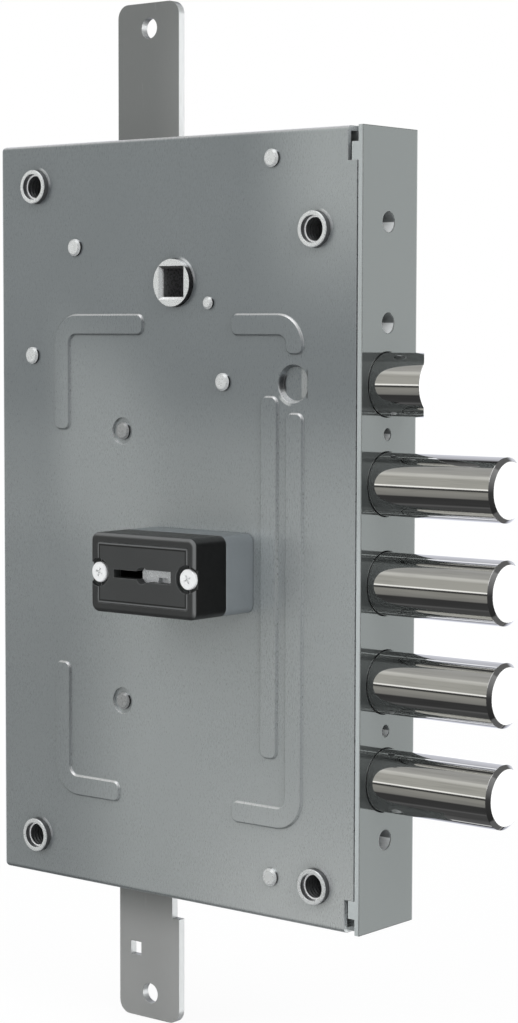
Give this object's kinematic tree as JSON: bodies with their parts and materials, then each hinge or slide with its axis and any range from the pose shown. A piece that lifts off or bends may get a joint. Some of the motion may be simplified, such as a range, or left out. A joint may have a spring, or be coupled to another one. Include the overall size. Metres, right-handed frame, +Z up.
{
  "type": "rim lock",
  "caption": "Security door lock in a flat sheet-metal case with round bolts, a bevelled latch, rods out of top and bottom, a square handle socket and a box-shaped key core.",
  "frame": {"origin": "outer face of the edge plate, on the bolts' centre plane, at half the case's height", "axes": "+X out of the door's edge along the bolts, +Y into the door from the covered front to the back plate, +Z up along the rods"},
  "size_m": [0.1821, 0.0527, 0.3103],
  "materials": {
    "cover_steel": "zinc-plated sheet, fine grain",
    "plate_steel": "zinc-plated sheet, bright",
    "bolt_chrome": "bright plated steel",
    "rod_steel": "zinc-plated flat bar",
    "bush_steel": "turned steel, plated",
    "inner_steel": "plain steel",
    "spring_steel": "spring steel",
    "lever_brass": "stamped brass",
    "core_grey": "grey die-cast metal, satin",
    "core_black": "black, fine texture",
    "screw_white": "bright zinc"
  },
  "bodies": {
    "case": {"lock_case": "plate_steel", "front_cover": "cover_steel", "fixing_bush_top_left": "bush_steel", "fixing_bush_top_right": "bush_steel", "fixing_bush_bottom_left": "bush_steel", "fixing_bush_bottom_right": "bush_steel", "cover_posts": "bush_steel", "latch_guide_post": "bush_steel", "follower_stop_post": "bush_steel", "upper_gear_axle": "bush_steel", "lower_gear_axle": "bush_steel", "carriage_guide_studs": "bush_steel", "latch_spring": "spring_steel", "latch_spring_bracket": "inner_steel", "core_housing": "core_grey", "core_cover": "core_black", "core_face_plate": "core_black", "drill_guard": "inner_steel", "core_screws": "screw_white", "shutter_spring": "spring_steel", "lever_guide_posts": "inner_steel", "lever_keeper": "inner_steel", "lever_spring_1": "spring_steel", "lever_spring_2": "spring_steel", "lever_spring_3": "spring_steel", "lever_spring_4": "spring_steel", "lever_spring_5": "spring_steel", "lever_spring_6": "spring_steel"},
    "bolt_carriage": {"carriage_plate": "inner_steel", "bolt_1": "bolt_chrome", "bolt_2": "bolt_chrome", "bolt_3": "bolt_chrome", "bolt_4": "bolt_chrome", "bolt_screws": "inner_steel", "deadlock_stump": "inner_steel"},
    "upper_gear": {"upper_gear": "inner_steel"},
    "lower_gear": {"lower_gear": "inner_steel"},
    "top_rod": {"top_rod": "rod_steel"},
    "bottom_rod": {"bottom_rod": "rod_steel"},
    "latch": {"latch_bolt": "bolt_chrome", "latch_tail": "inner_steel", "latch_drive_pin": "inner_steel"},
    "follower": {"handle_follower": "bush_steel"},
    "key_rotor": {"key_rotor": "inner_steel"},
    "key_shutter": {"key_shutter": "inner_steel"},
    "lever_1": {"lever_1": "lever_brass"},
    "lever_2": {"lever_2": "lever_brass"},
    "lever_3": {"lever_3": "lever_brass"},
    "lever_4": {"lever_4": "lever_brass"},
    "lever_5": {"lever_5": "lever_brass"},
    "lever_6": {"lever_6": "lever_brass"}
  },
  "joints": [
    {"name": "bolt_carriage_slide", "type": "slide", "parent": "case", "child": "bolt_carriage", "axis": [1, 0, 0], "range_m": [-0.036, 0]},
    {"name": "upper_gear_spin", "type": "hinge", "parent": "case", "child": "upper_gear", "pos_m": [-0.0898, 0, 0.02645], "axis": [0, 1, 0], "range_deg": [0, 158.7]},
    {"name": "lower_gear_spin", "type": "hinge", "parent": "case", "child": "lower_gear", "pos_m": [-0.0898, 0, -0.0552], "axis": [0, 1, 0], "range_deg": [-158.7, 0]},
    {"name": "top_rod_slide", "type": "slide", "parent": "case", "child": "top_rod", "axis": [0, 0, 1], "range_m": [-0.0194, 0]},
    {"name": "bottom_rod_slide", "type": "slide", "parent": "case", "child": "bottom_rod", "axis": [0, 0, 1], "range_m": [0, 0.0194]},
    {"name": "key_rotor_spin", "type": "hinge", "parent": "case", "child": "key_rotor", "pos_m": [-0.05865, 0, -0.0132], "axis": [0, 1, 0], "range_deg": [-720.1, 0]},
    {"name": "latch_slide", "type": "slide", "parent": "case", "child": "latch", "axis": [1, 0, 0], "range_m": [-0.016, 0], "stiffness_N_per_m": 300, "springref_m": 0.01, "deforming": ["latch_spring"]},
    {"name": "follower_spin", "type": "hinge", "parent": "case", "child": "follower", "pos_m": [-0.0687, 0, 0.0705], "axis": [0, 1, 0], "range_deg": [0, 30.6]},
    {"name": "shutter_slide", "type": "slide", "parent": "case", "child": "key_shutter", "axis": [0, 0, 1], "range_m": [0, 0.0051], "stiffness_N_per_m": 60, "springref_m": -0.004, "deforming": ["shutter_spring"]},
    {"name": "lever_1_slide", "type": "slide", "parent": "case", "child": "lever_1", "axis": [0, 0, 1], "range_m": [0, 0.0025], "stiffness_N_per_m": 300, "springref_m": -0.003, "deforming": ["lever_spring_1"]},
    {"name": "lever_2_slide", "type": "slide", "parent": "case", "child": "lever_2", "axis": [0, 0, 1], "range_m": [0, 0.0025], "stiffness_N_per_m": 300, "springref_m": -0.003, "deforming": ["lever_spring_2"]},
    {"name": "lever_3_slide", "type": "slide", "parent": "case", "child": "lever_3", "axis": [0, 0, 1], "range_m": [0, 0.0025], "stiffness_N_per_m": 300, "springref_m": -0.003, "deforming": ["lever_spring_3"]},
    {"name": "lever_4_slide", "type": "slide", "parent": "case", "child": "lever_4", "axis": [0, 0, 1], "range_m": [0, 0.0025], "stiffness_N_per_m": 300, "springref_m": -0.003, "deforming": ["lever_spring_4"]},
    {"name": "lever_5_slide", "type": "slide", "parent": "case", "child": "lever_5", "axis": [0, 0, 1], "range_m": [0, 0.0025], "stiffness_N_per_m": 300, "springref_m": -0.003, "deforming": ["lever_spring_5"]},
    {"name": "lever_6_slide", "type": "slide", "parent": "case", "child": "lever_6", "axis": [0, 0, 1], "range_m": [0, 0.0025], "stiffness_N_per_m": 300, "springref_m": -0.003, "deforming": ["lever_spring_6"]}
  ],
  "couplings": [
    {"joint": "upper_gear_spin", "follows": "bolt_carriage_slide", "rad_per_m": -76.923},
    {"joint": "lower_gear_spin", "follows": "bolt_carriage_slide", "rad_per_m": 76.923},
    {"joint": "top_rod_slide", "follows": "bolt_carriage_slide", "ratio": 0.53846},
    {"joint": "bottom_rod_slide", "follows": "bolt_carriage_slide", "ratio": -0.53846},
    {"joint": "key_rotor_spin", "follows": "bolt_carriage_slide", "rad_per_m": 349.07},
    {"joint": "follower_spin", "follows": "latch_slide", "rad_per_m": -33.27}
  ]
}
